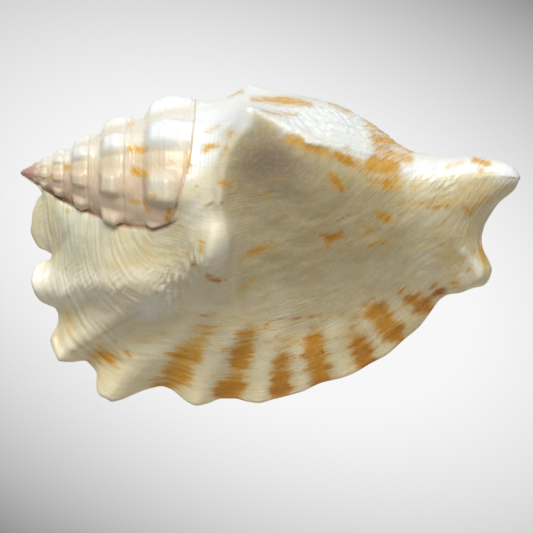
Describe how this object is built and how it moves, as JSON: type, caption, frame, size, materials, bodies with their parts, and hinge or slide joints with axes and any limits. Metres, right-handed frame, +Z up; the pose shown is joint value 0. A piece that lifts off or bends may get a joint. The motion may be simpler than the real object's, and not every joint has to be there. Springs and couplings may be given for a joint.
{
  "type": "rooster conch shell",
  "caption": "Rooster conch shell lying mouth down: knobbed pointed spire, tall shouldered body whorl, broad wavy flared lip and a blunt siphonal canal.",
  "frame": {"origin": "middle of the bounding box, on the surface that the shell lies on", "axes": "+X from the apex of the spire to the tip of the canal, +Y away from the flared lip, +Z up through the back of the shell as it lies mouth down"},
  "size_m": [0.1406, 0.0902, 0.0536],
  "materials": {
    "shell": "glazed cream shell with orange-brown streaks and blotches, satin on its ribs"
  },
  "bodies": {
    "root": {"conch_shell": "shell"}
  },
  "joints": []
}
